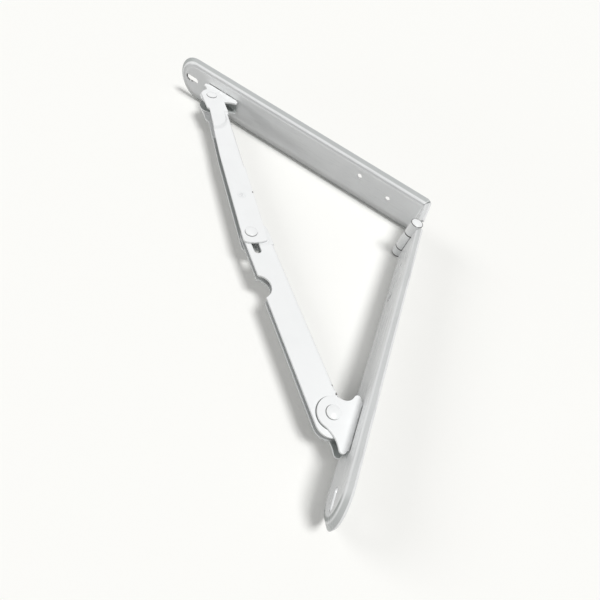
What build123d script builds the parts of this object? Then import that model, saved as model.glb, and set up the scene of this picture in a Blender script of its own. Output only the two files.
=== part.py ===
"""Folding shelf bracket: two rimmed plates on a rolled hinge, propped by a two-part folding brace.

Frame: the origin is the top wall screw hole, on the face of the wall plate that looks at the wall.
+X points away from the wall, +Z up and +Y along the hinge. The shelf plate stands at its open stop.
All sizes are millimetres and degrees.
"""

import os
from math import atan2, cos, degrees, hypot, radians, sin, sqrt, tan

from build123d import *

# plates
PLATE_WIDTH = 43.4
PLATE_SHEET = 2.0
RIM_WIDTH = 4.4  # the sloped rim, seen square to the plate
RIM_DROP = 3.5  # how far the rim's edge falls behind the brace side of the plate
FOLD_RADIUS = 0.8  # inside radius of every fold
SHELF_LENGTH = 298.7  # hinge axis to the round end
WALL_LENGTH = 257.5
SHELF_STANDOFF = 35.6  # hinge axis to the brace side of the plate
WALL_STANDOFF = 1.3
OPENING_ANGLE = 101.0  # between the plates, at the open stop
TAB_LEAN = 6.2  # the shelf plate's hinge tab, off square
TAB_CORNER_RADIUS = 2.0

# screw holes, the same in both plates
SCREW_HOLE = 5.0
FIRST_HOLE = 37.7  # from the hinge axis
SECOND_HOLE = 72.9
HOLE_STAGGER = 5.4  # second hole, off the middle line
SCREW_SLOT_LENGTH = 15.0
SCREW_SLOT_WIDTH = 5.4
SCREW_SLOT_FROM_END = 16.6

# hinge
BARREL_DIAMETER = 11.2
PIN_DIAMETER = 7.0
RUNNING_CLEARANCE = 0.05  # radial, every pin and rivet in its hole
HEAD_KNUCKLE = 0.3 * PLATE_WIDTH  # shelf plate's knuckle under the pin head
MIDDLE_KNUCKLE = 0.415 * PLATE_WIDTH  # wall plate's knuckle
KNUCKLE_GAP = 0.5
KNUCKLE_SEAM = 0.5  # slit where the rolled sheet meets its own leaf
BARREL_CLEARANCE = 0.6  # plate ends to the barrel
PIN_HEAD_DIAMETER = 10.4
PIN_HEAD_HEIGHT = 1.3
PIN_HEAD_SETBACK = 1.5  # top knuckle's end below the plate edge
PIN_TAIL_DIAMETER = 8.6
PIN_TAIL_HEIGHT = 1.0

# ears that carry the brace, the same on both plates
SHELF_PIVOT = SHELF_LENGTH - 55.2  # hinge axis to rivet, along the plate
WALL_PIVOT = WALL_LENGTH - 63.5
PIVOT_HEIGHT = 17.0  # rivet above the plate
EAR_SHEET = 1.8
EAR_WIDTH = 12.0
EAR_NOSE_RADIUS = 11.1
HORN_RADIUS = 2.6
HORN_HEIGHT = 4.3  # centre of the horn's rounded tip above the plate
SHORT_HORN = 15.9  # rivet to the centre of the horn's tip
LONG_HORN = 19.8
SHORT_FLARE_RADIUS = 7.0
LONG_FLARE_RADIUS = 20.0
EAR_BASE_SETBACK = 1.2  # base ends short of the horn's tip centre
EAR_FOLD_RADIUS = 0.3  # pressed tight, so the cheeks stand flat down to the base
EAR_CORNER_RADIUS = 1.0

# brace
SIDE_PLAY = 0.2  # between neighbouring cheeks, each side
ARM_SHEET = 1.8
SHORT_ARM_PITCH = 183.4  # shelf rivet to joint rivet
BRACE_BOW = 10.3  # joint rivet beyond the straight line between the outer rivets
SHORT_ARM_BACK = 11.9  # rivet line to the web side
SHORT_ARM_FRONT = 8.0  # rivet line to the open side
SHORT_ARM_TAIL = 11.4  # beyond the joint rivet
SHORT_ARM_EYE = 10.0  # round end at the shelf rivet
EYE_SHOULDER = 21.0  # shelf rivet to the step behind the eye
STEP_LENGTH = 2.0
STEP_RADIUS = 1.3
NECK_FRONT = 5.9  # rivet line to the open side, just behind the step
NECK_END = 90.0  # where the open side reaches its full reach
NECK_RADIUS = 60.0
END_CROWN = 2.0  # how far the blunt end past the joint bulges
END_FRONT_RADIUS = 3.2
END_BACK_RADIUS = 2.2
WEB_START = 28.0  # along the short arm, clear of the ear
WEB_RECESS = 0.6  # the cheeks' back edge below the web's face, where the web starts
WEB_LEAD = 5.0  # length over which the short arm's back edge runs up to the web's face
WEB_TO_JOINT = 78.0  # web ends this far from the joint rivet, leaving a fork for the long arm
JOGGLE_END = 53.6  # shelf rivet to where the cheeks have stepped inwards
JOGGLE_RADIUS = 20.0  # corner of the outset part, beside the web
JOGGLE_TO_WEB = 1.0  # edge of the outset part to the web's inner face
JOGGLE_ANGLE = 45.0  # slope of the step in the cheeks, off square
LONG_ARM_WIDTH = 22.5
SLOT_OFFSET = 3.9  # slot line to the arm's middle line, towards the open side
PIVOT_OFFSET = 2.4  # wall rivet to the arm's middle line, towards the web side
SLOT_TRAVEL = 18.0
END_CENTRE = 4.1  # centre of the arm's round foot beyond the wall rivet
HEAD_CENTRE = 1.0  # centre of the arm's round top beyond the joint rivet
GRIP_RADIUS = 10.9  # finger notch
GRIP_FROM_JOINT = 51.9
GRIP_OUTSIDE = 3.7  # centre of the notch outside the arm's edge
LONG_WEB_START = 14.0
LONG_WEB_TO_JOINT = 14.0

# rivets
RIVET_DIAMETER = 6.0
RIVET_HEAD_DIAMETER = 9.8
RIVET_HEAD_HEIGHT = 1.5
RIVET_HEAD_RIM = 0.4
HEAD_PLAY = 0.1  # between a head and an arm that turns under it

# depths from the middle of the bracket, built outwards from the long arm
EAR_INSIDE = EAR_WIDTH / 2 - EAR_SHEET
LONG_ARM_OUTSIDE = EAR_INSIDE - SIDE_PLAY
FORK_INSIDE = LONG_ARM_OUTSIDE + SIDE_PLAY
FORK_OUTSIDE = FORK_INSIDE + ARM_SHEET
EYE_INSIDE = EAR_WIDTH / 2 + SIDE_PLAY
EYE_OUTSIDE = EYE_INSIDE + ARM_SHEET

# section of a plate
RIM_SLOPE = degrees(atan2(RIM_DROP, RIM_WIDTH))
PLATE_DEPTH = RIM_DROP + PLATE_SHEET * cos(radians(RIM_SLOPE))
FLAT_HALF = PLATE_WIDTH / 2 - RIM_WIDTH
LEAF_START = BARREL_DIAMETER / 2 + BARREL_CLEARANCE
PIN_HOLE_RADIUS = PIN_DIAMETER / 2 + RUNNING_CLEARANCE
RIVET_HOLE_RADIUS = RIVET_DIAMETER / 2 + RUNNING_CLEARANCE
REACH = 400.0  # longer than any arm, for trimming tools

# ends across the bracket of the three knuckles, from the one under the pin's head
HEAD_TOP = PLATE_WIDTH / 2 - PIN_HEAD_SETBACK
HEAD_SPAN = (HEAD_TOP - HEAD_KNUCKLE, HEAD_TOP)
MIDDLE_SPAN = (HEAD_SPAN[0] - KNUCKLE_GAP - MIDDLE_KNUCKLE, HEAD_SPAN[0] - KNUCKLE_GAP)
TAIL_SPAN = (PIN_TAIL_HEIGHT - PLATE_WIDTH / 2, MIDDLE_SPAN[0] - KNUCKLE_GAP)

# places in the frame; a pair is (x, z)
HINGE = (WALL_STANDOFF + PLATE_SHEET, FIRST_HOLE)
SHELF_TILT = OPENING_ANGLE - 90.0
WALL_FRAME = Plane(origin=(HINGE[0], 0, HINGE[1]), x_dir=(0, 0, -1), z_dir=(1, 0, 0))
SHELF_FRAME = Plane(
    origin=(HINGE[0], 0, HINGE[1]),
    x_dir=(cos(radians(SHELF_TILT)), 0, sin(radians(SHELF_TILT))),
    z_dir=(sin(radians(SHELF_TILT)), 0, -cos(radians(SHELF_TILT))),
)


def from_plate(frame, along, height):
    """Place in the bracket of a point given along a plate and above the hinge axis."""
    point = frame.from_local_coords(Vector(along, 0, height))
    return point.X, point.Z


def joint_place(shelf_pivot, wall_pivot):
    """Joint rivet at the open stop: a bowed brace, standing off the line between the outer rivets."""
    reach_x = wall_pivot[0] - shelf_pivot[0]
    reach_z = wall_pivot[1] - shelf_pivot[1]
    span = hypot(reach_x, reach_z)
    along = sqrt(SHORT_ARM_PITCH**2 - BRACE_BOW**2)
    unit_x = reach_x / span
    unit_z = reach_z / span
    return (
        shelf_pivot[0] + along * unit_x - BRACE_BOW * unit_z,
        shelf_pivot[1] + along * unit_z + BRACE_BOW * unit_x,
    )


SHELF_RIVET_PLACE = from_plate(SHELF_FRAME, SHELF_PIVOT, PIVOT_HEIGHT - SHELF_STANDOFF)
WALL_RIVET_PLACE = from_plate(WALL_FRAME, WALL_PIVOT, PIVOT_HEIGHT - WALL_STANDOFF)
JOINT_PLACE = joint_place(SHELF_RIVET_PLACE, WALL_RIVET_PLACE)
LONG_ARM_PITCH = hypot(JOINT_PLACE[0] - WALL_RIVET_PLACE[0], JOINT_PLACE[1] - WALL_RIVET_PLACE[1])

# the long arm is drawn along its middle line, with the wall rivet as its origin
SLOT_LINE = -PIVOT_OFFSET - SLOT_OFFSET
SLOT_TOP = sqrt(LONG_ARM_PITCH**2 - SLOT_LINE**2)
LONG_ARM_BACK = LONG_ARM_WIDTH / 2 - PIVOT_OFFSET
LONG_ARM_FRONT = LONG_ARM_WIDTH / 2 + PIVOT_OFFSET


def arm_frame(start, end, swing, turn):
    """Frame of an arm: x from one rivet to the other, y towards the hinge side, z across."""
    heading = atan2(end[1] - start[1], end[0] - start[0]) + radians(swing)
    x_dir = (cos(heading), 0, sin(heading))
    return Plane(origin=(start[0], 0, start[1]), x_dir=x_dir, z_dir=(0, turn, 0))


SHORT_ARM_FRAME = arm_frame(SHELF_RIVET_PLACE, JOINT_PLACE, 0, 1)
LONG_ARM_FRAME = arm_frame(
    WALL_RIVET_PLACE, JOINT_PLACE, degrees(atan2(-SLOT_LINE, SLOT_TOP)), -1
)


def soften(face, corners):
    """Round each corner of a face that lies nearest to a given point, with its own radius."""
    for point, radius in corners:
        nearest = face.vertices().sort_by_distance(point)[0]
        face = fillet(nearest, radius)
    return face


def dome(radius, base, height):
    """Profile of a domed head: the arc from its rim to the middle of its crown, on the y axis."""
    sphere = (radius**2 + height**2) / (2 * height)
    half_way = sqrt(sphere**2 - (radius / 2) ** 2) - sphere + height
    return ThreePointArc((radius, base), (radius / 2, base + half_way), (0, base + height))


def mirrored(solid):
    """The solid and its twin on the other side of the bracket's middle plane."""
    return solid + mirror(solid, about=Plane.XY)


# ---------------------------------------------------------------- plates


def plate_section_points():
    """Right half of the dished section, from the middle of the brace side round to the middle behind."""
    half_width = PLATE_WIDTH / 2
    edge_in = PLATE_SHEET * sin(radians(RIM_SLOPE))
    fold_in = PLATE_SHEET * tan(radians(RIM_SLOPE / 2))
    return [
        (FLAT_HALF, 0),
        (half_width, -RIM_DROP),
        (half_width - edge_in, -PLATE_DEPTH),
        (FLAT_HALF - fold_in, -PLATE_SHEET),
    ]


def half_section():
    """Half of the plate's section: x across the plate, y square to it, 0 on the brace side."""
    points = plate_section_points()
    face = make_face(Polyline((0, 0), *points, (0, -PLATE_SHEET), close=True))
    return soften(face, [(points[0], FOLD_RADIUS + PLATE_SHEET), (points[3], FOLD_RADIUS)])


def full_section():
    """Whole section of a plate."""
    half = half_section()
    return half + mirror(half, about=Plane.YZ)


def straight_plate(start, end, height):
    """Length of rimmed plate along x, its brace side at the given height."""
    plane = Plane(origin=(start, 0, height), x_dir=(0, 1, 0), z_dir=(1, 0, 0))
    return extrude(plane * full_section(), end - start)


def round_end(centre, height):
    """Half-round end of a plate: the half section turned about the end's centre."""
    plane = Plane(origin=(centre, 0, height), x_dir=(0, -1, 0), z_dir=(-1, 0, 0))
    section = plane * half_section()
    return revolve(section, Axis((centre, 0, height), (0, 0, 1)), 180)


def screw_cuts(length, height):
    """Two round holes near the hinge, the second one staggered, and a slot near the round end."""
    depth = 2 * PLATE_DEPTH
    first = Pos(FIRST_HOLE, 0, height) * Cylinder(SCREW_HOLE / 2, depth)
    second = Pos(SECOND_HOLE, -HOLE_STAGGER, height) * Cylinder(SCREW_HOLE / 2, depth)
    slot_face = SlotOverall(SCREW_SLOT_LENGTH, SCREW_SLOT_WIDTH)
    slot = extrude(Pos(length - SCREW_SLOT_FROM_END, 0, height) * slot_face, depth / 2, both=True)
    return [first, second, slot]


def plate_end(start, length, height):
    """Rimmed plate from its start to its round end, with its screw holes."""
    centre = length - PLATE_WIDTH / 2
    plate = straight_plate(start, centre, height) + round_end(centre, height)
    return plate - screw_cuts(length, height)


# ---------------------------------------------------------------- hinge


def rolled_knuckle(low, high, face_height):
    """Sheet rolled round the pin at the end of a leaf that runs along +x.

    The roll leaves the leaf on its far side and comes back to it, with a seam on the brace side.
    """
    width = high - low
    middle = (low + high) / 2
    ring = Pos(0, middle, 0) * Rot(90, 0, 0) * Cylinder(BARREL_DIAMETER / 2, width)
    bore = Pos(0, middle, 0) * Rot(90, 0, 0) * Cylinder(PIN_HOLE_RADIUS, width)
    leaf_low = max(low, -FLAT_HALF)
    leaf_high = min(high, FLAT_HALF)
    leaf_length = LEAF_START + BARREL_CLEARANCE
    leaf_place = Pos(leaf_length / 2, (leaf_low + leaf_high) / 2, face_height - PLATE_SHEET / 2)
    leaf = leaf_place * Box(leaf_length, leaf_high - leaf_low, PLATE_SHEET)
    seam_place = Pos(BARREL_DIAMETER / 2, middle, face_height + KNUCKLE_SEAM / 2)
    seam = seam_place * Box(BARREL_DIAMETER, width, KNUCKLE_SEAM)
    return ring + leaf - seam - bore


def wall_plate():
    """Wall plate with the middle knuckle."""
    plate = plate_end(LEAF_START, WALL_LENGTH, -WALL_STANDOFF)
    return WALL_FRAME.location * (plate + rolled_knuckle(*MIDDLE_SPAN, -WALL_STANDOFF))


def hinge_tab():
    """Tab that carries the shelf plate's knuckles, drawn along +x from the hinge axis.

    Its brace side lies in the plane through the hinge axis; the bend and the plate follow from its end.
    The shelf plate faces the other way round from the wall plate, so its spans change sign.
    """
    tab = straight_plate(LEAF_START, tab_run(), 0)
    head = rolled_knuckle(-HEAD_SPAN[1], -HEAD_SPAN[0], 0)
    tail = rolled_knuckle(-TAIL_SPAN[1], -TAIL_SPAN[0], 0)
    return tab + head + tail


def tab_run():
    """Hinge axis to the start of the tab's bend, along the tab."""
    height = SHELF_STANDOFF / cos(radians(TAB_LEAN))
    return height - TAB_CORNER_RADIUS * tan(radians((90 - TAB_LEAN) / 2))


def tab_corner():
    """Bend between tab and plate: the whole section turned about the inside of the bend."""
    run = tab_run()
    plane = Plane(origin=(run, 0, 0), x_dir=(0, 1, 0), z_dir=(1, 0, 0))
    axis = Axis((run, 0, TAB_CORNER_RADIUS), (0, -1, 0))
    return revolve(plane * full_section(), axis, 90 - TAB_LEAN)


def shelf_plate():
    """Shelf plate with its hinge tab, bend and two knuckles."""
    corner_x = SHELF_STANDOFF * tan(radians(TAB_LEAN))
    start = corner_x + TAB_CORNER_RADIUS * tan(radians((90 - TAB_LEAN) / 2))
    plate = plate_end(start, SHELF_LENGTH, -SHELF_STANDOFF)
    tab = hinge_tab() + tab_corner()
    tab_dir = (sin(radians(TAB_LEAN)), 0, -cos(radians(TAB_LEAN)))
    tab_normal = (cos(radians(TAB_LEAN)), 0, sin(radians(TAB_LEAN)))
    tab_plane = Plane(origin=(0, 0, 0), x_dir=tab_dir, z_dir=tab_normal)
    return SHELF_FRAME.location * (plate + tab_plane.location * tab)


def hinge_pin():
    """Headed pin through the three knuckles, its tail spread over the last one."""
    tail_end = TAIL_SPAN[0] - PIN_TAIL_HEIGHT
    top = HEAD_SPAN[1]
    radius = PIN_HEAD_DIAMETER / 2
    profile = make_face(
        Polyline(
            (0, tail_end),
            ((PIN_TAIL_DIAMETER - PIN_TAIL_HEIGHT) / 2, tail_end),
            (PIN_TAIL_DIAMETER / 2, TAIL_SPAN[0]),
            (PIN_DIAMETER / 2, TAIL_SPAN[0]),
            (PIN_DIAMETER / 2, top),
            (radius, top),
        )
        + dome(radius, top, PIN_HEAD_HEIGHT)
        + Line((0, top + PIN_HEAD_HEIGHT), (0, tail_end))
    )
    return Pos(HINGE[0], 0, HINGE[1]) * revolve(profile, Axis.Y)


# ---------------------------------------------------------------- ears


def channel_section(leg, outside, sheet, corner_radius, fold_radius):
    """U-shaped section: the web's outer face on x = 0, its legs running towards -x."""
    outer = Pos(-leg / 2, 0) * Rectangle(leg, 2 * outside)
    inner = Pos(-leg / 2 - sheet, 0) * Rectangle(leg, 2 * (outside - sheet))
    outer = fillet(outer.vertices().sort_by(Axis.X)[-2:], corner_radius)
    inner = fillet(inner.vertices().sort_by(Axis.X)[-2:], fold_radius)
    return outer - inner


def flare(nose, nose_radius, tip, tip_radius, radius, side):
    """Concave arc touching two circles from outside: its end on the tip, its middle, its end on the nose."""
    gap_x = tip[0] - nose[0]
    gap_y = tip[1] - nose[1]
    gap = hypot(gap_x, gap_y)
    from_nose = nose_radius + radius
    from_tip = tip_radius + radius
    along = (from_nose**2 - from_tip**2 + gap**2) / (2 * gap)
    aside = side * sqrt(from_nose**2 - along**2)
    centre_x = nose[0] + (along * gap_x - aside * gap_y) / gap
    centre_y = nose[1] + (along * gap_y + aside * gap_x) / gap
    on_nose = (
        nose[0] + (centre_x - nose[0]) * nose_radius / from_nose,
        nose[1] + (centre_y - nose[1]) * nose_radius / from_nose,
    )
    on_tip = (
        tip[0] + (centre_x - tip[0]) * tip_radius / from_tip,
        tip[1] + (centre_y - tip[1]) * tip_radius / from_tip,
    )
    toward_x = (on_nose[0] + on_tip[0]) / 2 - centre_x
    toward_y = (on_nose[1] + on_tip[1]) / 2 - centre_y
    scale = radius / hypot(toward_x, toward_y)
    middle = (centre_x + toward_x * scale, centre_y + toward_y * scale)
    return on_tip, middle, on_nose


def ear_outline():
    """Side view of an ear about its rivet's foot: a round nose flaring down to two horns."""
    nose = (0, PIVOT_HEIGHT)
    short_tip = (-SHORT_HORN, HORN_HEIGHT)
    long_tip = (LONG_HORN, HORN_HEIGHT)
    short_side = flare(nose, EAR_NOSE_RADIUS, short_tip, HORN_RADIUS, SHORT_FLARE_RADIUS, -1)
    long_side = flare(nose, EAR_NOSE_RADIUS, long_tip, HORN_RADIUS, LONG_FLARE_RADIUS, 1)
    short_foot = (-SHORT_HORN, HORN_HEIGHT - HORN_RADIUS)
    long_foot = (LONG_HORN, HORN_HEIGHT - HORN_RADIUS)
    edges = (
        Polyline(
            long_foot,
            (LONG_HORN - EAR_BASE_SETBACK, 0),
            (-SHORT_HORN + EAR_BASE_SETBACK, 0),
            short_foot,
        )
        + ThreePointArc(short_foot, (-SHORT_HORN - HORN_RADIUS, HORN_HEIGHT), short_side[0])
        + ThreePointArc(*short_side)
        + ThreePointArc(short_side[2], (0, PIVOT_HEIGHT + EAR_NOSE_RADIUS), long_side[2])
        + ThreePointArc(long_side[2], long_side[1], long_side[0])
        + ThreePointArc(long_side[0], (LONG_HORN + HORN_RADIUS, HORN_HEIGHT), long_foot)
    )
    return make_face(edges)


def ear(frame, pivot, standoff, heading):
    """Ear on the brace side of a plate, its long horn pointing along the plate where heading is 1."""
    length = SHORT_HORN + LONG_HORN + 4 * HORN_RADIUS
    plane = Plane(origin=(-length / 2, 0, 0), x_dir=(0, 0, -1), z_dir=(1, 0, 0))
    section = channel_section(
        2 * PIVOT_HEIGHT, EAR_WIDTH / 2, EAR_SHEET, EAR_CORNER_RADIUS, EAR_FOLD_RADIUS
    )
    channel = extrude(plane * section, length)
    side = extrude(Plane.XZ * ear_outline(), EAR_WIDTH, both=True)
    bore = Pos(0, 0, PIVOT_HEIGHT) * Rot(90, 0, 0) * Cylinder(RIVET_HOLE_RADIUS, 2 * EAR_WIDTH)
    body = Rot(0, 0, 0 if heading > 0 else 180) * ((channel & side) - bore)
    return frame.location * Pos(pivot, 0, -standoff) * body


# ---------------------------------------------------------------- brace


def channel_run(start, end, back, outside, sheet):
    """Channel along x whose web stands on the line y = back and opens towards -y."""
    plane = Plane(origin=(start, back, 0), x_dir=(0, 1, 0), z_dir=(1, 0, 0))
    section = channel_section(REACH, outside, sheet, FOLD_RADIUS + sheet, FOLD_RADIUS)
    return extrude(plane * section, end - start)


def cheek_slabs(start, end, inside, outside):
    """Two flat cheeks of a channel over a length that has no web."""
    thickness = outside - inside
    middle = (inside + outside) / 2
    slab = Pos((start + end) / 2, 0, middle) * Box(end - start, REACH, thickness)
    return mirrored(slab)


def short_arm_outline():
    """Side view of the short arm: an eye at the shelf rivet, a waist, a blunt end past the joint."""
    end = SHORT_ARM_PITCH + SHORT_ARM_TAIL
    shoulder = (EYE_SHOULDER, -SHORT_ARM_FRONT)
    neck = (EYE_SHOULDER + STEP_LENGTH, -NECK_FRONT)
    full = (NECK_END, -SHORT_ARM_FRONT)
    front_corner = (end - END_CROWN, -SHORT_ARM_FRONT)
    back_corner = (end - END_CROWN, SHORT_ARM_BACK)
    crown = (end, (SHORT_ARM_BACK - SHORT_ARM_FRONT) / 2)
    web_corner = (WEB_START, SHORT_ARM_BACK)
    recess = (WEB_START - WEB_LEAD, SHORT_ARM_BACK - WEB_RECESS)
    edges = (
        ThreePointArc((0, SHORT_ARM_EYE), (-SHORT_ARM_EYE, 0), (0, -SHORT_ARM_EYE))
        + Polyline((0, -SHORT_ARM_EYE), shoulder, neck, full, front_corner)
        + ThreePointArc(front_corner, crown, back_corner)
        + Polyline(back_corner, web_corner, recess, (0, SHORT_ARM_EYE))
    )
    corners = [
        (shoulder, STEP_RADIUS),
        (neck, STEP_RADIUS),
        (full, NECK_RADIUS),
        (front_corner, END_FRONT_RADIUS),
        (back_corner, END_BACK_RADIUS),
    ]
    return soften(make_face(edges), corners)


def joggle_region():
    """Part of the short arm that is set outwards to straddle the ear, drawn past the arm's edges."""
    past = 3 * SHORT_ARM_EYE
    beside_web = SHORT_ARM_BACK - ARM_SHEET - JOGGLE_TO_WEB
    cheek = Rectangle(past + JOGGLE_END, past + beside_web, align=(Align.MIN, Align.MAX))
    corner = (JOGGLE_END, beside_web)
    cheek = soften(Pos(-past, beside_web) * cheek, [(corner, JOGGLE_RADIUS)])
    eye = Rectangle(past + WEB_START - JOGGLE_TO_WEB, 2 * past, align=(Align.MIN, Align.CENTER))
    return cheek + Pos(-past, 0) * eye


def sloped_pad(face, low, height):
    """Pad standing on a face whose sides slope inwards by the joggle's angle."""
    top = offset(face, -height * tan(radians(JOGGLE_ANGLE)), kind=Kind.INTERSECTION)
    return loft([Pos(0, 0, low) * face, Pos(0, 0, low + height) * top], ruled=True)


def short_arm():
    """Outer arm of the brace: a fork at the joint, a channel, and joggled eyes at the shelf."""
    web_end = SHORT_ARM_PITCH - WEB_TO_JOINT
    channel = channel_run(WEB_START, web_end, SHORT_ARM_BACK, FORK_OUTSIDE, ARM_SHEET)
    eyes = cheek_slabs(-2 * SHORT_ARM_EYE, WEB_START, FORK_INSIDE, FORK_OUTSIDE)
    fork = cheek_slabs(web_end, SHORT_ARM_PITCH + 2 * SHORT_ARM_TAIL, FORK_INSIDE, FORK_OUTSIDE)
    region = joggle_region()
    step = EYE_OUTSIDE - FORK_OUTSIDE
    wall_shift = ARM_SHEET * (1 - sin(radians(JOGGLE_ANGLE))) / cos(radians(JOGGLE_ANGLE))
    hollow_face = offset(region, -wall_shift, kind=Kind.INTERSECTION)
    raised = sloped_pad(region, FORK_OUTSIDE, step)
    hollow = sloped_pad(hollow_face, FORK_INSIDE, step)
    body = channel + eyes + fork + mirrored(raised) - mirrored(hollow)
    body = body & extrude(short_arm_outline(), 2 * EYE_OUTSIDE, both=True)
    eye_bore = Cylinder(RIVET_HOLE_RADIUS, 4 * EYE_OUTSIDE)
    joint_bore = Pos(SHORT_ARM_PITCH, 0, 0) * Cylinder(RIVET_HOLE_RADIUS, 4 * EYE_OUTSIDE)
    return SHORT_ARM_FRAME.location * (body - eye_bore - joint_bore)


def long_arm_outline():
    """Side view of the long arm: a strip with round ends and a finger notch in its open side.

    Its back edge stands a little below the web's face from the foot to where the web starts.
    """
    middle = -PIVOT_OFFSET
    start = -END_CENTRE
    end = SLOT_TOP + HEAD_CENTRE
    strip = Pos((start + end) / 2, middle) * Rectangle(end - start, LONG_ARM_WIDTH)
    foot = Pos(start, middle) * Circle(LONG_ARM_WIDTH / 2)
    head = Pos(end, middle) * Circle(LONG_ARM_WIDTH / 2)
    notch = Pos(SLOT_TOP - GRIP_FROM_JOINT, -LONG_ARM_FRONT - GRIP_OUTSIDE) * Circle(GRIP_RADIUS)
    recess = Rectangle(2 * LONG_ARM_WIDTH, WEB_RECESS, align=(Align.MAX, Align.MAX))
    return strip + foot + head - notch - Pos(LONG_WEB_START, LONG_ARM_BACK) * recess


def long_arm():
    """Inner arm of the brace: a channel with the joint rivet's slot through both cheeks."""
    web_end = SLOT_TOP - LONG_WEB_TO_JOINT
    channel = channel_run(LONG_WEB_START, web_end, LONG_ARM_BACK, LONG_ARM_OUTSIDE, ARM_SHEET)
    inside = LONG_ARM_OUTSIDE - ARM_SHEET
    foot = cheek_slabs(-LONG_ARM_WIDTH, LONG_WEB_START, inside, LONG_ARM_OUTSIDE)
    head = cheek_slabs(web_end, SLOT_TOP + 2 * LONG_ARM_WIDTH, inside, LONG_ARM_OUTSIDE)
    body = (channel + foot + head) & extrude(long_arm_outline(), 2 * LONG_ARM_OUTSIDE, both=True)
    bore = Cylinder(RIVET_HOLE_RADIUS, 4 * LONG_ARM_OUTSIDE)
    slot_face = SlotCenterToCenter(SLOT_TRAVEL, 2 * RIVET_HOLE_RADIUS)
    slot_place = Pos(SLOT_TOP - SLOT_TRAVEL / 2, SLOT_LINE)
    slot = extrude(slot_place * slot_face, 2 * LONG_ARM_OUTSIDE, both=True)
    return LONG_ARM_FRAME.location * (body - bore - slot)


# ---------------------------------------------------------------- rivets


def rivet_head(seat):
    """Low domed head standing on z = seat, its shank side down."""
    radius = RIVET_HEAD_DIAMETER / 2
    rim = seat + RIVET_HEAD_RIM
    profile = make_face(
        Polyline((0, seat + RIVET_HEAD_HEIGHT), (0, seat), (radius, seat), (radius, rim))
        + dome(radius, rim, RIVET_HEAD_HEIGHT - RIVET_HEAD_RIM)
    )
    return revolve(Plane.XZ * profile, Axis.Z)


def rivet(place, seat):
    """Rivet across the bracket, its heads seated the given distance either side of the middle."""
    shank = Cylinder(RIVET_DIAMETER / 2, 2 * seat)
    body = mirrored(rivet_head(seat)) + shank
    return Pos(place[0], 0, place[1]) * Rot(90, 0, 0) * body


def joint_rivet_heads():
    """Heads of the joint rivet, each with the stub of shank that sits in its cheek of the short arm."""
    length = FORK_OUTSIDE - FORK_INSIDE
    stub = Pos(0, 0, FORK_INSIDE + length / 2) * Cylinder(RIVET_DIAMETER / 2, length)
    head = rivet_head(FORK_OUTSIDE) + stub
    return Pos(JOINT_PLACE[0], 0, JOINT_PLACE[1]) * Rot(90, 0, 0) * mirrored(head)


def joint_shank():
    """Length of the joint rivet that runs in the long arm's slot."""
    shank = Cylinder(RIVET_DIAMETER / 2, 2 * LONG_ARM_OUTSIDE)
    return Pos(JOINT_PLACE[0], 0, JOINT_PLACE[1]) * Rot(90, 0, 0) * shank


PARTS = {
    "wall_plate": wall_plate(),
    "shelf_plate": shelf_plate(),
    "hinge_pin": hinge_pin(),
    "wall_ear": ear(WALL_FRAME, WALL_PIVOT, WALL_STANDOFF, 1),
    "shelf_ear": ear(SHELF_FRAME, SHELF_PIVOT, SHELF_STANDOFF, -1),
    "long_arm": long_arm(),
    "short_arm": short_arm(),
    "wall_rivet": rivet(WALL_RIVET_PLACE, EAR_WIDTH / 2),
    "shelf_rivet": rivet(SHELF_RIVET_PLACE, EYE_OUTSIDE + HEAD_PLAY),
    "joint_rivet_heads": joint_rivet_heads(),
    "joint_rivet_shank": joint_shank(),
}

os.makedirs("parts", exist_ok=True)
for node, solid in PARTS.items():
    export_step(solid, f"parts/{node}.step")
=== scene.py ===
"""Folding shelf bracket: its white powder coat with rubs and chips, a pale table, lamps and a camera."""

import math

import bpy
from mathutils import Euler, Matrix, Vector


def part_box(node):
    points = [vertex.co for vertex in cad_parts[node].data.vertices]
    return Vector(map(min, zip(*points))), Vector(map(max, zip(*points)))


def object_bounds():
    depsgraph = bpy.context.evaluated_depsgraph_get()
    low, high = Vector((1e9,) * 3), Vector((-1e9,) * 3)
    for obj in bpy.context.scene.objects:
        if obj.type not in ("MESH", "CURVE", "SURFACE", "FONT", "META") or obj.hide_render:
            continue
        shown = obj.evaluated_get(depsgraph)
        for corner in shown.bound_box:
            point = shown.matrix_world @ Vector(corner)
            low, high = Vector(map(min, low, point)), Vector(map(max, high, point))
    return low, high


bl_info = {
    "name": "Folding Shelf Bracket",
    "version": (1, 0, 0),
    "blender": (4, 5, 0),
    "location": "View3D > Sidebar > Bracket",
    "description": "Finishes a folding shelf bracket in powder coat and lights it on a pale table",
    "category": "Object",
}

MM = 0.001

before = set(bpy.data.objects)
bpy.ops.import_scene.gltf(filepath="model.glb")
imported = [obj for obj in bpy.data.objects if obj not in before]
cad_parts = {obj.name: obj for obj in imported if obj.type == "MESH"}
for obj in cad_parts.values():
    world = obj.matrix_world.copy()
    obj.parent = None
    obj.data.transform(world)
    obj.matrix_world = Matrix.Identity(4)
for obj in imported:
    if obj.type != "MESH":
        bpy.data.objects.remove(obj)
CAD_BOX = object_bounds()


def middle(node):
    """Middle of a CAD node's box."""
    low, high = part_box(node)
    return (low + high) / 2


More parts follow.
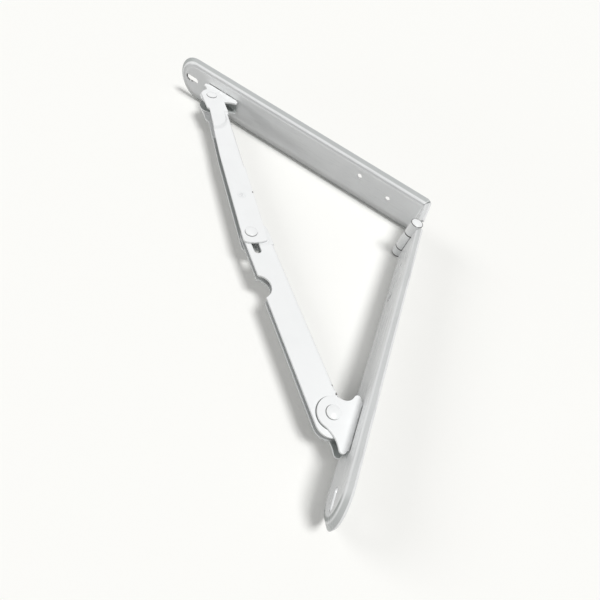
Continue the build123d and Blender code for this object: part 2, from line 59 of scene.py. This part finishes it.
SHELF_RIVET = middle("shelf_rivet")
WALL_RIVET = middle("wall_rivet")
JOINT_RIVET = middle("joint_rivet_shank")
HINGE_PIN = middle("hinge_pin")
SHELF_TILT = math.radians(11)
ALONG_SHELF = Vector((math.cos(SHELF_TILT), 0.0, math.sin(SHELF_TILT)))
ALONG_WALL = Vector((0.0, 0.0, -1.0))
ACROSS = Vector((0.0, 1.0, 0.0))
SHELF_FACING = Vector((math.sin(SHELF_TILT), 0.0, -math.cos(SHELF_TILT)))
WALL_FACING = Vector((1.0, 0.0, 0.0))
SIDE_VIEW = Vector((1.0, 0.0, 1.0))  # times a place, keeps what is seen along the hinge
PIVOT_HEIGHT = 17 * MM  # rivets above the plates
FLAT_HALF = 17.3 * MM  # middle line of a plate to the fold of its rim
RIM_DROP = 3.5 * MM
HALF_FOLD = 0.9 * MM  # half the width of the fold
SHOULDER = 4.5 * MM  # width over which the flat bends into its fold
WALL_STRAIGHT = 41.8 * MM  # wall rivet to where the plate's end begins to round
SHELF_STRAIGHT = 33.5 * MM  # shelf rivet to where the plate's end begins to round
SECOND_HOLE = Vector((-1.3, -5.4, -72.9)) * MM  # hinge pin to the wall plate's lower hole
BARED_AT_SLOT = (39.4 * MM, 43.6 * MM)  # shelf rivet to the bared spots on the slot's outer half
PLATE_BELOW = 18 * MM  # shelf rivet to the middle of the plate's sheet
BESIDE_EAR = 6.1 * MM  # middle line to just outside an ear
LONG_HORN = 20 * MM  # rivet to the middle of the long horn's tip
SHORT_HORN = 16 * MM  # the same for the short horn
BARREL_REACH = 6.2 * MM  # hinge pin's middle to just past the barrel
KNUCKLE_ENDS = (6.9 * MM, -11.6 * MM)  # where two knuckles meet, across the bracket
PIN_HEAD_AT = 20.2 * MM  # the knuckles' outer ends
PIN_TAIL_AT = -20.7 * MM
HEAD_EDGE = 5.3 * MM  # rivet's middle to just past its head
EAR_INSIDE = 4.6 * MM  # middle line to just past the inner face of an ear or of the short arm
LONG_ARM_INSIDE = 2.6 * MM  # the same for the long arm
FADE = 0.3 * MM  # width over which a mark fades out
DUST_SHOWS = 0.06
RUBS_SHOW = 0.5
WORN_EDGES_SHOW = 0.3
CHIP_DEPTH = 0.08 * MM
LUMP_SIZE = 12 * MM  # slow unevenness of the coat
LUMP_HEIGHT = 0.06 * MM
TABLE_GAP = 0.2 * MM


# ---------------------------------------------------------------- settings


class CoatSettings(bpy.types.PropertyGroup):
    """The powder coat and what has happened to it."""

    colour: bpy.props.FloatVectorProperty(
        name="Coat colour",
        description="White of the powder coat",
        subtype="COLOR",
        size=3,
        min=0.0,
        max=1.0,
        default=(0.9, 0.91, 0.91),
    )
    rub_colour: bpy.props.FloatVectorProperty(
        name="Rub colour",
        description="Grey left where one piece slides on another",
        subtype="COLOR",
        size=3,
        min=0.0,
        max=1.0,
        default=(0.5, 0.51, 0.52),
    )
    # Colour of painted shade: on the sloped rims, in the round end's fold, inside the channels and on the
    # far cheeks' edges.
    painted_shade_tone: bpy.props.FloatVectorProperty(
        name="Dusty colour",
        description="Greenish grey that dust gives the sloped rims and the insides of the channels",
        subtype="COLOR",
        size=3,
        min=0.0,
        max=1.0,
        default=(0.34, 0.365, 0.355),
    )
    # Near black of the painted shade in the lines between pieces and of the painted shadow beside rivet
    # heads; also of the dark flecks in the burr round a hole.
    dirt_and_shadow_colour: bpy.props.FloatVectorProperty(
        name="Seam colour",
        description="Dirt in the lines where two pieces meet",
        subtype="COLOR",
        size=3,
        min=0.0,
        max=1.0,
        default=(0.05, 0.055, 0.05),
    )
    steel_colour: bpy.props.FloatVectorProperty(
        name="Steel colour",
        description="Steel bared by a chip",
        subtype="COLOR",
        size=3,
        min=0.0,
        max=1.0,
        default=(0.09, 0.085, 0.08),
    )
    roughness: bpy.props.FloatProperty(
        name="Coat roughness",
        description="Roughness of the satin coat",
        subtype="FACTOR",
        min=0.05,
        max=1.0,
        default=0.2,
    )
    peel_size: bpy.props.FloatProperty(
        name="Orange peel size",
        description="Distance between the coat's fine bumps",
        unit="LENGTH",
        min=0.0002,
        max=0.01,
        default=0.0011,
    )
    peel_height: bpy.props.FloatProperty(
        name="Orange peel height",
        description="Height of the coat's fine bumps",
        unit="LENGTH",
        min=0.0,
        max=0.0005,
        default=0.00003,
    )
    edge_round: bpy.props.FloatProperty(
        name="Coated edge radius",
        description="Radius that the coat gives the sheet's cut edges",
        unit="LENGTH",
        min=0.0,
        max=0.002,
        default=0.0004,
    )
    chip_size: bpy.props.FloatProperty(
        name="Chip size",
        description="Radius of the larger chips on the arms' edges",
        unit="LENGTH",
        min=0.0,
        max=0.005,
        default=0.0014,
    )


class StageSettings(bpy.types.PropertyGroup):
    """The table, lamps and camera."""

    table_colour: bpy.props.FloatVectorProperty(
        name="Table colour",
        description="Warm white of the table as the camera sees it",
        subtype="COLOR",
        size=3,
        min=0.0,
        max=1.0,
        default=(0.98, 0.978, 0.952),
    )
    bounce_colour: bpy.props.FloatVectorProperty(
        name="Bounced colour",
        description="Table colour that lights the bracket from below",
        subtype="COLOR",
        size=3,
        min=0.0,
        max=1.0,
        default=(0.45, 0.45, 0.44),
    )
    table_size: bpy.props.FloatProperty(
        name="Table size",
        description="Length of a side",
        unit="LENGTH",
        min=1.0,
        max=20.0,
        default=8.0,
    )
    key_strength: bpy.props.FloatProperty(
        name="Key lamp",
        description="Strength of the lamp nearly overhead",
        min=0.0,
        max=10.0,
        default=1.85,
    )
    fill_strength: bpy.props.FloatProperty(
        name="Fill lamp",
        description="Strength of the broad lamp that faces the wall plate",
        min=0.0,
        max=10.0,
        default=0.62,
    )
    low_strength: bpy.props.FloatProperty(
        name="Low lamps",
        description="Strength of each low lamp that faces the shelf plate",
        min=0.0,
        max=10.0,
        default=0.135,
    )
    room_light: bpy.props.FloatProperty(
        name="Room light",
        description="Strength of the light from all round",
        min=0.0,
        max=2.0,
        default=0.32,
    )
    focal_length: bpy.props.FloatProperty(
        name="Focal length",
        description="Camera lens in millimetres",
        min=10.0,
        max=200.0,
        default=25.0,
    )
    camera_place: bpy.props.FloatVectorProperty(
        name="Camera place",
        description="Camera from the middle of the bracket's box",
        subtype="TRANSLATION",
        unit="LENGTH",
        size=3,
        default=(-0.0744, 0.2523, -0.2311),
    )
    camera_turn: bpy.props.FloatVectorProperty(
        name="Camera turn",
        description="Camera's XYZ rotation",
        subtype="EULER",
        unit="ROTATION",
        size=3,
        default=(math.radians(130.14), math.radians(-19.78), math.radians(164.37)),
    )


# ---------------------------------------------------------------- shader maths


class Socket:
    """An output socket that Python's operators work on, by way of Math and Vector Math nodes."""

    def __init__(self, tree, socket):
        self.tree = tree
        self.socket = socket

    def combine(self, operation, first, second):
        """Result of a two-sided operation as a new socket."""
        vectors = any(isinstance(s, Socket) and s.socket.type == "VECTOR" for s in (first, second))
        kind = "ShaderNodeVectorMath" if vectors else "ShaderNodeMath"
        return self.tree.node(kind, {"operation": operation}, {0: first, 1: second})

    def __add__(self, other):
        return self.combine("ADD", self, other)

    def __radd__(self, other):
        return self.combine("ADD", other, self)

    def __sub__(self, other):
        return self.combine("SUBTRACT", self, other)

    def __rsub__(self, other):
        return self.combine("SUBTRACT", other, self)

    def __mul__(self, other):
        return self.combine("MULTIPLY", self, other)

    def __rmul__(self, other):
        return self.combine("MULTIPLY", other, self)

    def __truediv__(self, other):
        return self.combine("DIVIDE", self, other)

    def __rtruediv__(self, other):
        return self.combine("DIVIDE", other, self)

    def larger(self, other):
        """The larger of two values."""
        return self.combine("MAXIMUM", self, other)

    def within(self, low, high):
        """How far the value has come from low on its way to high, and no farther."""
        return self.combine("MINIMUM", self.larger(low), high) - low

    def size(self):
        """The value without its sign."""
        return self.tree.node("ShaderNodeMath", {"operation": "ABSOLUTE"}, {0: self})

    def root(self):
        """Square root."""
        return self.tree.node("ShaderNodeMath", {"operation": "SQRT"}, {0: self})

    def dot(self, other):
        """Dot product of two vectors."""
        settings = {"operation": "DOT_PRODUCT"}
        return self.tree.node("ShaderNodeVectorMath", settings, {0: self, 1: other}, "Value")

    def length(self):
        """Length of a vector."""
        return self.tree.node("ShaderNodeVectorMath", {"operation": "LENGTH"}, {0: self}, "Value")

    def ramp(self, low, high):
        """Smooth step from 0 at low to 1 at high, either way round."""
        settings = {"interpolation_type": "SMOOTHSTEP"}
        sockets = {"Value": self, 1: low, 2: high, 3: 0.0, 4: 1.0}
        if low > high:
            sockets = {"Value": self, 1: high, 2: low, 3: 1.0, 4: 0.0}
        return self.tree.node("ShaderNodeMapRange", settings, sockets)


class Tree:
    """A node tree that grows one node at a time."""

    def __init__(self, node_tree):
        self.nodes = node_tree.nodes
        self.links = node_tree.links
        self.nodes.clear()

    def node(self, kind, settings=None, sockets=None, output=0):
        """Adds a node: its settings first, then values or links for its sockets. Returns one output."""
        made = self.nodes.new(kind)
        for name, value in (settings or {}).items():
            setattr(made, name, value)
        for key, value in (sockets or {}).items():
            if isinstance(value, Socket):
                self.links.new(value.socket, made.inputs[key])
            elif isinstance(value, (int, float)) and made.inputs[key].type == "VECTOR":
                made.inputs[key].default_value = (value, value, value)
            else:
                made.inputs[key].default_value = value
        return Socket(self, made.outputs[output]) if len(made.outputs) else made

    def mix(self, factor, first, second):
        """Colour that goes from first to second."""
        return self.node("ShaderNodeMix", {"data_type": "RGBA"}, {0: factor, 6: first, 7: second}, 2)

    def noise(self, place, size, detail=2.0):
        """Soft noise from 0 to 1 whose lumps are about one size across."""
        sockets = {"Vector": place, "Scale": 1 / size, "Detail": detail}
        return self.node("ShaderNodeTexNoise", {}, sockets, "Fac")


def rgba(colour):
    """A colour setting as a colour socket takes it."""
    return (*colour, 1.0)


def strongest(masks):
    """One mask from several."""
    total = 0.0
    for mask in masks:
        total = mask.larger(total)
    return total


# ---------------------------------------------------------------- powder coat


class Coat:
    """One piece's powder coat: marks are added to it, and material() puts them together."""

    def __init__(self, name, seed):
        self.settings = bpy.context.scene.bracket_coat
        self.material_made = bpy.data.materials.new(name)
        self.material_made.use_nodes = True
        self.tree = Tree(self.material_made.node_tree)
        self.place = self.tree.node("ShaderNodeTexCoord", output="Object")
        self.seeded = self.place + tuple(0.37 * seed * (axis + 1) for axis in range(3))
        self.across = self.place.dot(tuple(ACROSS))
        self.aside = self.across.size()
        self.rubs = []
        self.chips = []
        # Masks of painted shade.
        self.painted_shade_masks = []
        # Masks of painted shade and shadow in the lines between pieces, and of dark flecks in a burr.
        self.dirt_and_shadow_lines = []
        self.raised = self.tree.noise(self.seeded, LUMP_SIZE, 1.0) * LUMP_HEIGHT

    def around(self, centre):
        """Distance from a line along the hinge's direction through a point."""
        return ((self.place - tuple(centre)) * tuple(SIDE_VIEW)).length()

    def along(self, start, direction):
        """Distance from a point, measured in one direction."""
        return (self.place - tuple(start)).dot(tuple(direction))

    def patchy(self, size, low, high):
        """Mask broken up into patches about one size across."""
        return self.tree.noise(self.seeded, size, 3.0).ramp(low, high)

    def rub_ring(self, centre, inner, outer, strength):
        """Grey ring left by a piece that turns over the coat."""
        distance = self.around(centre)
        ring = distance.ramp(inner, inner + FADE) * distance.ramp(outer, outer - 0.5 * MM)
        self.rubs.append(ring * self.patchy(1.6 * MM, 0.42, 0.66) * strength)

    def rub_spot(self, centre, size, strength):
        """Grey scuff."""
        distance = (self.place - tuple(centre)).length()
        self.rubs.append(distance.ramp(size, 0.2 * size) * self.patchy(0.3 * size, 0.4, 0.6) * strength)

    def chip(self, centre, size):
        """Ragged spot where the coat has gone down to the steel."""
        ragged = (self.tree.noise(self.seeded, 0.6 * size, 3.0) - 0.5) * (1.2 * size)
        self.chips.append(((self.place - tuple(centre)).length() + ragged).ramp(size, 0.75 * size))

    def burr(self, centre, inner, outer, height):
        """Rough collar of coat round a pierced hole."""
        distance = (self.place - tuple(centre)).length()
        collar = distance.ramp(inner - 0.4 * MM, inner) * distance.ramp(outer, inner + FADE)
        self.raised = self.raised + self.tree.noise(self.seeded, 0.9 * MM, 3.0) * collar * height
        self.dirt_and_shadow_lines.append(collar * self.patchy(1.1 * MM, 0.55, 0.62) * 0.6)

    def painted_rivet_shadow(self, centre, shift, size):
        """Painted shadow on one side of a rivet's head."""
        distance = self.around(centre + shift)
        self.dirt_and_shadow_lines.append(distance.ramp(size, size - 0.35 * MM) * 0.85)

    def painted_shade_ring(self, centre, inner, outer, strength):
        """Painted shade along the round edge of the piece that lies on top."""
        distance = self.around(centre)
        ring = distance.ramp(inner, inner + 0.2 * MM) * distance.ramp(outer, outer - 0.4 * MM)
        self.dirt_and_shadow_lines.append(ring * strength)

    def painted_far_edge_shade(self, inside, outside):
        """Painted shade on the far cheek's cut edges."""
        edges = self.across.ramp(-inside, -inside - FADE) * self.across.ramp(-outside, -outside + FADE)
        self.painted_shade_masks.append(edges * 0.4)

    def painted_inside_shade(self, inside, strength):
        """Painted shade inside a channel."""
        self.painted_shade_masks.append(self.aside.ramp(inside, inside - FADE) * strength)

    def streaks(self, stretch, strength):
        """Faint scuffs that run one way: stretch is 1 across them and small along them."""
        lines = self.tree.noise(self.seeded * stretch, 1.1 * MM, 4.0).ramp(0.5, 0.68)
        patches = self.tree.noise(self.seeded, 30 * MM).ramp(0.4, 0.6)
        self.rubs.append(lines * patches * strength)

    def material(self):
        """The finished material."""
        tree = self.tree
        settings = self.settings
        edge = tree.node("ShaderNodeBevel", {"samples": 6}, {"Radius": settings.edge_round})
        flat = tree.node("ShaderNodeNewGeometry", output="Normal")
        worn_edge = (1.0 - edge.dot(flat)).ramp(0.02, 0.3) * self.patchy(1.2 * MM, 0.6, 0.7)
        dust = tree.noise(self.seeded, 22 * MM, 4.0).ramp(0.35, 0.75)
        rubbed = (worn_edge * WORN_EDGES_SHOW).larger(strongest(self.rubs))
        bare = strongest(self.chips)
        white = tree.mix(dust * DUST_SHOWS, rgba(settings.colour), rgba(settings.rub_colour))
        # Painted shade on the rims, in the folds, inside the channels and on the far edges.
        white = tree.mix(strongest(self.painted_shade_masks), white, rgba(settings.painted_shade_tone))
        white = tree.mix(rubbed * RUBS_SHOW, white, rgba(settings.rub_colour))
        # Painted shade and shadow in the lines between pieces, and dark flecks in the burr.
        white = tree.mix(strongest(self.dirt_and_shadow_lines), white, rgba(settings.dirt_and_shadow_colour))
        colour = tree.mix(bare, white, rgba(settings.steel_colour))
        peel = tree.noise(self.seeded, settings.peel_size) * settings.peel_height
        height = peel + self.raised - bare * CHIP_DEPTH
        bumps = {"Strength": 1.0, "Distance": 1.0, "Height": height, "Normal": edge}
        normal = tree.node("ShaderNodeBump", {}, bumps)
        shader = tree.node(
            "ShaderNodeBsdfPrincipled",
            {},
            {
                "Base Color": colour,
                "Roughness": settings.roughness + dust * 0.08 + rubbed * 0.2 + bare * 0.25,
                "Metallic": bare * 0.6,
                "Specular IOR Level": 0.5,
                "Normal": normal,
            },
        )
        tree.node("ShaderNodeOutputMaterial", {}, {"Surface": shader})
        return self.material_made


class PlateCoat(Coat):
    """A plate's coat, with marks that follow its folds, its round end, its ear and its knuckles."""

    def __init__(self, name, seed, rivet, direction, facing, straight):
        super().__init__(name, seed)
        self.rivet = rivet
        self.direction = direction
        beyond = self.along(rivet + direction * straight, direction)
        past = beyond.larger(0.0)
        self.from_middle = (past * past + self.aside * self.aside).root()
        self.round_end = beyond.ramp(2.0 * MM, 10.0 * MM)
        height = self.along(rivet - facing * PIVOT_HEIGHT, facing)
        self.before_edge = height.ramp(-RIM_DROP, -RIM_DROP + FADE)
        self.off_tab = height.ramp(3 * FADE, FADE)
        object_normal = self.tree.node("ShaderNodeTexCoord", output="Normal")
        self.brace_side = object_normal.dot(tuple(facing)).ramp(0.2, 0.5)

    def painted_rim_shade(self, side, end):
        """Painted shade on the sloped rim: how much along the two sides, and round the end."""
        slope = self.from_middle.ramp(FLAT_HALF + 0.8 * MM, FLAT_HALF + 1.9 * MM)
        strength = side + self.round_end * (end - side)
        self.painted_shade_masks.append(slope * self.before_edge * self.off_tab * strength)

    def painted_groove_shade(self, strength):
        """Painted shade in the fold of the round end."""
        fold = self.from_middle.ramp(FLAT_HALF - 3.0 * MM, FLAT_HALF - 1.2 * MM)
        fold = fold * self.from_middle.ramp(FLAT_HALF + 1.2 * MM, FLAT_HALF - 0.4 * MM)
        self.painted_shade_masks.append(fold * self.round_end * strength)

    def soft_shoulder(self, slope):
        """The flat falls off towards its fold, as steep as slope where the fold begins."""
        fold_start = FLAT_HALF - HALF_FOLD
        bending = self.from_middle.within(fold_start - SHOULDER, fold_start)
        folding = self.from_middle.within(fold_start, FLAT_HALF + HALF_FOLD)
        fall = bending * bending * (0.5 / SHOULDER) + folding * (1.0 - folding * (0.25 / HALF_FOLD))
        self.raised = self.raised - fall * self.brace_side * self.off_tab * slope

    def painted_foot_shade(self, behind, ahead):
        """Broken line of painted shade along the two long sides of the ear's foot."""
        along = self.along(self.rivet, self.direction)
        line = (self.aside - BESIDE_EAR).size().ramp(0.55 * MM, 0.2 * MM)
        length = along.ramp(-behind - 0.5 * MM, -behind) * along.ramp(ahead + 0.5 * MM, ahead)
        self.dirt_and_shadow_lines.append(line * length * self.brace_side * self.patchy(4 * MM, 0.36, 0.5))

    def painted_knuckle_shade(self, place, half_width):
        """Line of painted shade round the barrel where two knuckles, or a knuckle and an end of the pin,
        meet.
        """
        line = (self.across - place).size().ramp(half_width, 0.5 * half_width)
        on_barrel = self.around(HINGE_PIN).ramp(BARREL_REACH + 0.8 * MM, BARREL_REACH)
        self.dirt_and_shadow_lines.append(line * on_barrel * self.patchy(6 * MM, 0.3, 0.42))


def coat_node(node, coat):
    """Gives a CAD node its coat."""
    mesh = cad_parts[node].data
    mesh.materials.clear()
    mesh.materials.append(coat.material())


# ---------------------------------------------------------------- pieces


def on_arm(start, end, along, aside, out):
    """Place on an arm in millimetres: along it from a rivet, towards the hinge, and out from the middle."""
    direction = ((end - start) * SIDE_VIEW).normalized()
    towards = Vector((-direction.z, 0.0, direction.x))
    rivet = start * SIDE_VIEW
    if towards.dot(HINGE_PIN - rivet) < 0:
        towards.negate()
    return rivet + (direction * along + towards * aside + ACROSS * out) * MM


class BRACKET_OT_plates(bpy.types.Operator):
    """Coat the wall plate and the shelf plate"""

    bl_idname = "bracket.plates"
    bl_label = "Coat plates"

    def execute(self, context):
        wall = PlateCoat("wall_plate_coat", 1, WALL_RIVET, ALONG_WALL, WALL_FACING, WALL_STRAIGHT)
        wall.streaks((1.0, 1.0, 0.04), 1.0)
        # Painted shade on the sloped rim, stronger round the end than along the sides.
        wall.painted_rim_shade(side=0.3, end=0.6)
        # Painted shade in the round end's fold.
        wall.painted_groove_shade(0.9)
        wall.soft_shoulder(0.1)
        # Painted shade along the ear's foot.
        wall.painted_foot_shade(behind=SHORT_HORN, ahead=LONG_HORN)
        wall.burr(HINGE_PIN + SECOND_HOLE, inner=2.6 * MM, outer=5.0 * MM, height=0.9 * MM)
        shelf = PlateCoat("shelf_plate_coat", 2, SHELF_RIVET, ALONG_SHELF, SHELF_FACING, SHELF_STRAIGHT)
        shelf.streaks((0.04, 1.0, 0.3), 0.5)
        # Painted shade on the sloped rim.
        shelf.painted_rim_shade(side=0.6, end=0.8)
        shelf.soft_shoulder(0.85)
        for along in BARED_AT_SLOT:
            shelf.chip(SHELF_RIVET + ALONG_SHELF * along - SHELF_FACING * PLATE_BELOW, 3.3 * MM)
        # Painted shade at the pin's ends; at the tail it stands for the shadow where the barrel meets the
        # table.
        shelf.painted_knuckle_shade(PIN_HEAD_AT, 0.6 * MM)
        shelf.painted_knuckle_shade(PIN_TAIL_AT, 1.0 * MM)
        # Painted shade along the ear's foot.
        shelf.painted_foot_shade(behind=LONG_HORN, ahead=SHORT_HORN)
        # Painted shade lines where two knuckles meet.
        for plate in (wall, shelf):
            for place in KNUCKLE_ENDS:
                plate.painted_knuckle_shade(place, 0.7 * MM)
        coat_node("wall_plate", wall)
        coat_node("shelf_plate", shelf)
        return {"FINISHED"}


class BRACKET_OT_ears(bpy.types.Operator):
    """Coat the two ears, with painted shade inside and painted shadow beside their rivets"""

    bl_idname = "bracket.ears"
    bl_label = "Coat ears"

    def execute(self, context):
        ears = (("wall_ear", WALL_RIVET), ("shelf_ear", SHELF_RIVET))
        for seed, (node, rivet) in enumerate(ears, 3):
            ear = Coat(f"{node}_coat", seed)
            # Painted shadow beside the rivet's head.
            ear.painted_rivet_shadow(rivet, Vector((0.35, 0.0, -0.25)) * MM, HEAD_EDGE)
            # Painted shade inside the ear.
            ear.painted_inside_shade(EAR_INSIDE, 0.9)
            coat_node(node, ear)
        return {"FINISHED"}


class BRACKET_OT_arms(bpy.types.Operator):
    """Coat the two arms, with their rubbed joint and chipped edges"""

    bl_idname = "bracket.arms"
    bl_label = "Coat arms"

    def execute(self, context):
        size = context.scene.bracket_coat.chip_size
        long_arm = Coat("long_arm_coat", 5)
        long_arm.rub_ring(JOINT_RIVET, 4.0 * MM, 12.0 * MM, 0.5)
        # Painted shade along the edge of the wall ear's round nose.
        long_arm.painted_shade_ring(WALL_RIVET, 10.9 * MM, 11.9 * MM, 0.8)
        # Painted shade inside the channel.
        long_arm.painted_inside_shade(LONG_ARM_INSIDE, 0.3)
        # Painted shade on the far cheek's cut edges.
        long_arm.painted_far_edge_shade(2.2 * MM, 3.9 * MM)
        for along, aside, share in (
            (10.9, 8.8, 1.0),
            (17.5, 8.9, 0.8),
            (14.2, 8.9, 0.5),
            (8.2, 8.2, 0.8),
            (100.2, -4.7, 0.7),
        ):
            long_arm.chip(on_arm(WALL_RIVET, JOINT_RIVET, along, aside, 4.0), share * size)
        coat_node("long_arm", long_arm)
        short_arm = Coat("short_arm_coat", 6)
        for rivet in (JOINT_RIVET, SHELF_RIVET):
            short_arm.rub_ring(rivet, 5.2 * MM, 6.4 * MM, 0.4)
            # Painted shadow beside each rivet's head.
            short_arm.painted_rivet_shadow(rivet, Vector((-0.1, 0.0, -0.45)) * MM, HEAD_EDGE)
        # Painted shade inside the channel.
        short_arm.painted_inside_shade(EAR_INSIDE, 0.6)
        short_arm.chip(on_arm(SHELF_RIVET, JOINT_RIVET, 138.3, 11.7, 5.6), 0.8 * size)
        short_arm.rub_spot(on_arm(SHELF_RIVET, JOINT_RIVET, 141.8, 0.9, 5.8), 5.0 * MM, 1.0)
        coat_node("short_arm", short_arm)
        return {"FINISHED"}


class BRACKET_OT_fastenings(bpy.types.Operator):
    """Coat the rivets and the hinge pin"""

    bl_idname = "bracket.fastenings"
    bl_label = "Coat rivets and pin"

    def execute(self, context):
        nodes = ("wall_rivet", "shelf_rivet", "joint_rivet_heads", "joint_rivet_shank", "hinge_pin")
        for seed, node in enumerate(nodes, 7):
            coat_node(node, Coat(f"{node}_coat", seed))
        return {"FINISHED"}


# ---------------------------------------------------------------- stage


def looked_at(tree):
    """1 where the camera looks, straight or by way of a glossy or clear surface."""
    seen = tree.node("ShaderNodeLightPath", output="Is Camera Ray")
    mirrored = tree.node("ShaderNodeLightPath", output="Is Glossy Ray")
    clear = tree.node("ShaderNodeLightPath", output="Is Transmission Ray")
    return seen.larger(mirrored).larger(clear)


def table_material(settings):
    """Pale table that shows from its front only, and bounces less light than the camera sees on it."""
    material = bpy.data.materials.new("table")
    material.use_nodes = True
    tree = Tree(material.node_tree)
    colour = tree.mix(looked_at(tree), rgba(settings.bounce_colour), rgba(settings.table_colour))
    front = tree.node("ShaderNodeBsdfDiffuse", {}, {"Color": colour})
    behind = tree.node("ShaderNodeNewGeometry", output="Backfacing")
    clear = tree.node("ShaderNodeBsdfTransparent")
    shader = tree.node("ShaderNodeMixShader", {}, {0: behind, 1: front, 2: clear})
    tree.node("ShaderNodeOutputMaterial", {}, {"Surface": shader})
    return material


def make_table(settings):
    """Flat table that the bracket lies on, on its side."""
    half = settings.table_size / 2
    depth = CAD_BOX[0].y - TABLE_GAP
    centre = (CAD_BOX[0] + CAD_BOX[1]) / 2
    corners = [(-half, half), (half, half), (half, -half), (-half, -half)]
    mesh = bpy.data.meshes.new("table")
    mesh.from_pydata([(centre.x + x, depth, centre.z + z) for x, z in corners], [], [(0, 1, 2, 3)])
    mesh.materials.append(table_material(settings))
    table = bpy.data.objects.new("table", mesh)
    bpy.context.collection.objects.link(table)


def make_lamp(name, strength, heading, tilt, softness):
    """Far lamp, angles in degrees: heading is from +X towards +Z, tilt is off straight above the table."""
    lamp = bpy.data.lights.new(name, "SUN")
    lamp.energy = strength
    lamp.angle = math.radians(softness)
    light = bpy.data.objects.new(name, lamp)
    heading = math.radians(heading)
    tilt = math.radians(tilt)
    low = math.sin(tilt)
    towards = Vector((low * math.cos(heading), math.cos(tilt), low * math.sin(heading)))
    light.rotation_mode = "QUATERNION"
    light.rotation_quaternion = towards.to_track_quat("Z", "Y")
    bpy.context.collection.objects.link(light)


def make_room(settings):
    """Even light from all round, white where it is looked at or reflected."""
    world = bpy.data.worlds.new("room")
    world.use_nodes = True
    bpy.context.scene.world = world
    tree = Tree(world.node_tree)
    shown = looked_at(tree)
    strength = shown + (1.0 - shown) * settings.room_light
    sockets = {"Color": (1.0, 1.0, 1.0, 1.0), "Strength": strength}
    background = tree.node("ShaderNodeBackground", {}, sockets)
    tree.node("ShaderNodeOutputWorld", {}, {"Surface": background})


def make_camera(settings):
    """Camera over the bracket as it lies."""
    camera = bpy.data.objects.new("camera", bpy.data.cameras.new("camera"))
    camera.data.lens = settings.focal_length
    camera.data.clip_start = 0.01
    camera.location = (CAD_BOX[0] + CAD_BOX[1]) / 2 + Vector(settings.camera_place)
    camera.rotation_euler = Euler(settings.camera_turn)
    bpy.context.collection.objects.link(camera)
    bpy.context.scene.camera = camera


class BRACKET_OT_stage(bpy.types.Operator):
    """Make the table, lamps, room light and camera"""

    bl_idname = "bracket.stage"
    bl_label = "Make stage"

    def execute(self, context):
        settings = context.scene.bracket_stage
        make_table(settings)
        make_lamp("key_lamp", settings.key_strength, heading=190, tilt=17, softness=19)
        make_lamp("fill_lamp", settings.fill_strength, heading=0, tilt=60, softness=25)
        for number, heading in enumerate((-48, -60, -72)):
            make_lamp(f"low_lamp_{number}", settings.low_strength, heading, tilt=86, softness=10)
        make_room(settings)
        make_camera(settings)
        context.scene.view_settings.view_transform = "Standard"
        return {"FINISHED"}


class BRACKET_PT_panel(bpy.types.Panel):
    """Buttons and settings of the bracket"""

    bl_idname = "BRACKET_PT_panel"
    bl_label = "Folding Shelf Bracket"
    bl_space_type = "VIEW_3D"
    bl_region_type = "UI"
    bl_category = "Bracket"

    def draw(self, context):
        for settings in (context.scene.bracket_coat, context.scene.bracket_stage):
            box = self.layout.box()
            for name in settings.__annotations__:
                box.prop(settings, name)
        for operator in OPERATORS:
            self.layout.operator(operator.bl_idname)


OPERATORS = (
    BRACKET_OT_plates,
    BRACKET_OT_ears,
    BRACKET_OT_arms,
    BRACKET_OT_fastenings,
    BRACKET_OT_stage,
)
CLASSES = (CoatSettings, StageSettings, *OPERATORS, BRACKET_PT_panel)


def register():
    for cls in CLASSES:
        bpy.utils.register_class(cls)
    bpy.types.Scene.bracket_coat = bpy.props.PointerProperty(type=CoatSettings)
    bpy.types.Scene.bracket_stage = bpy.props.PointerProperty(type=StageSettings)


def unregister():
    del bpy.types.Scene.bracket_stage
    del bpy.types.Scene.bracket_coat
    for cls in reversed(CLASSES):
        bpy.utils.unregister_class(cls)


def main():
    register()
    bpy.ops.bracket.plates()
    bpy.ops.bracket.ears()
    bpy.ops.bracket.arms()
    bpy.ops.bracket.fastenings()
    bpy.ops.bracket.stage()


if __name__ == "__main__":
    main()
